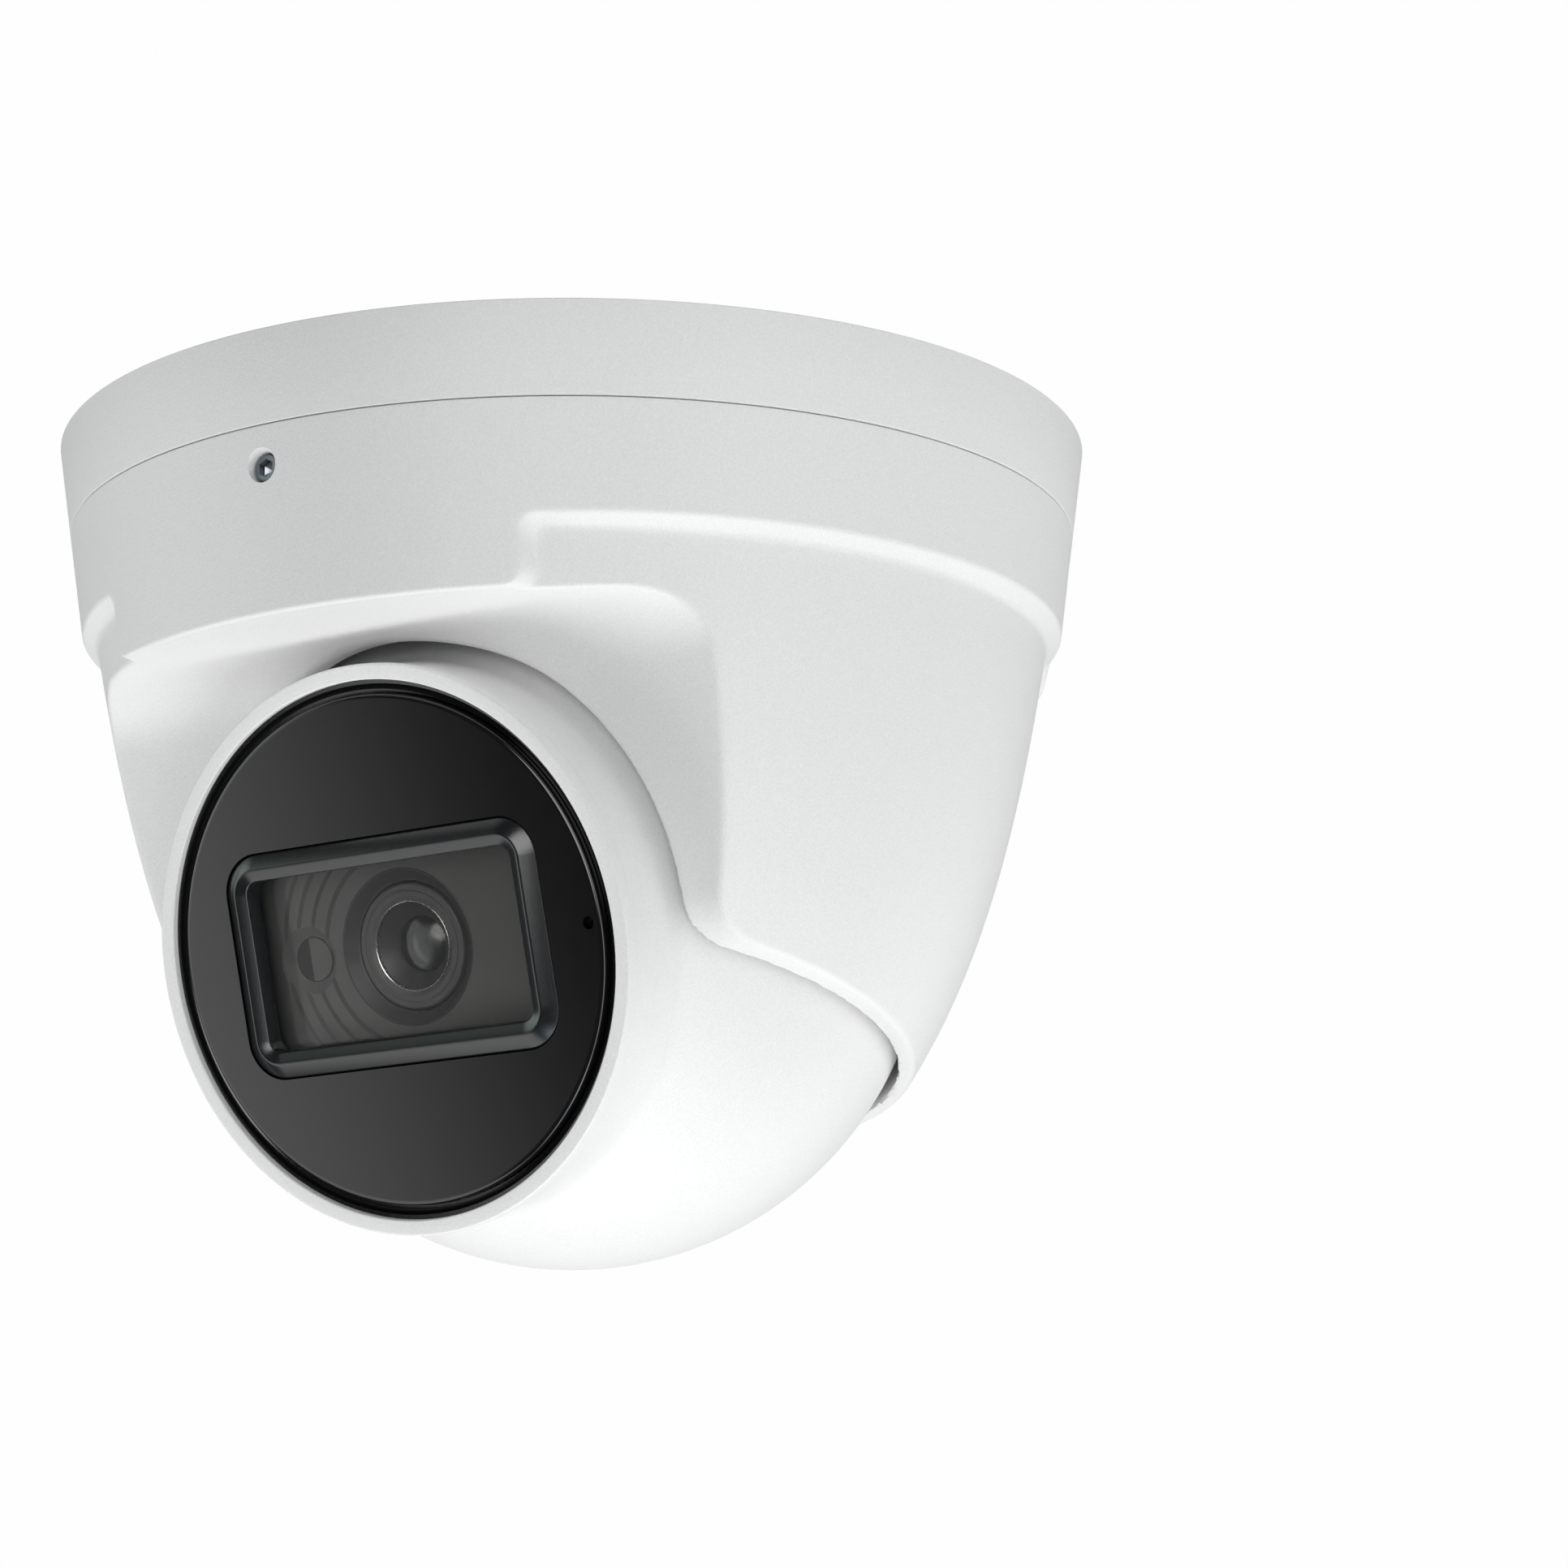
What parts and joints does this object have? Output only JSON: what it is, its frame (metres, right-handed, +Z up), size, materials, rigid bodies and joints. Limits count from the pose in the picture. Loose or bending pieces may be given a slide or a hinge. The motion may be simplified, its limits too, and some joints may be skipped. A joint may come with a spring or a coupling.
{
  "type": "turret dome cctv camera",
  "caption": "Turret dome CCTV camera: ceiling base, panning cover with a wide cut-out, and a tilting and rolling ball with a black lens window.",
  "frame": {"origin": "centre of the base's back face, against the ceiling", "axes": "+Z up into the ceiling, -Y the way the cut-out and the lens look at rest, +X to the right seen from the front"},
  "size_m": [0.12, 0.12, 0.0947],
  "materials": {
    "white_coat": "fine-grained powder coat",
    "steel": "plated",
    "bright_ring": "polished",
    "aluminium": "milled",
    "rubber": "matt",
    "foam": "closed-cell foam",
    "nylon": "moulded",
    "gloss_black": "polished, passes infrared",
    "satin_black": "fine satin",
    "lens_floor": "fine matt",
    "lens_black": "anodised look",
    "silicon": "chip package",
    "circuit_board": "solder mask",
    "clear_pane": "clear, coated",
    "sensor_window": "smoked",
    "lens_glass": "coated lens",
    "filter_glass": "infrared cut coating",
    "led_lens": "clear epoxy"
  },
  "bodies": {
    "base": {"mounting_base": "white_coat", "ceiling_gasket": "foam", "cable_grommet": "rubber", "pan_seal_ring": "rubber"},
    "turret": {"turret_cover": "white_coat", "lock_screw_front": "steel", "lock_screw_right": "steel", "lock_screw_left": "steel", "tilt_pivot_right": "steel", "tilt_pivot_left": "steel", "friction_washer_right": "nylon", "friction_washer_left": "nylon"},
    "cradle": {"tilt_cradle": "steel", "tilt_bush_right": "nylon", "tilt_bush_left": "nylon", "roll_washer": "nylon"},
    "ball": {"ball_front_shell": "white_coat", "ball_rear_shell": "white_coat", "shell_seal_ring": "rubber", "shell_screw_1": "steel", "shell_screw_2": "steel", "shell_screw_3": "steel", "shell_screw_4": "steel", "neck_nut": "steel", "neck_gland": "rubber", "window_gasket": "rubber", "front_window": "gloss_black", "lens_bezel": "satin_black", "lens_pane": "clear_pane", "lens_surround": "lens_floor", "light_sensor_window": "sensor_window", "lens_barrel": "lens_black", "lens_front_glass": "lens_glass", "lens_trim_ring": "bright_ring", "lens_holder": "satin_black", "infrared_filter": "filter_glass", "image_sensor": "silicon", "sensor_board": "circuit_board", "main_board": "circuit_board", "board_standoff_1": "steel", "board_standoff_2": "steel", "board_standoff_3": "steel", "board_standoff_4": "steel", "heat_sink_plate": "aluminium", "infrared_board": "circuit_board", "infrared_led_upper": "led_lens", "infrared_led_lower": "led_lens", "microphone": "aluminium"}
  },
  "joints": [
    {"name": "pan", "type": "hinge", "parent": "base", "child": "turret", "pos_m": [0, 0, -0.015], "axis": [0, 0, 1], "range_deg": [-180, 180]},
    {"name": "tilt", "type": "hinge", "parent": "turret", "child": "cradle", "pos_m": [0, 0, -0.054], "axis": [1, 0, 0], "range_deg": [0, 74.6]},
    {"name": "roll", "type": "hinge", "parent": "cradle", "child": "ball", "pos_m": [0, 0, -0.054], "axis": [0, -0.9641, -0.2656], "range_deg": [-180, 180]}
  ]
}
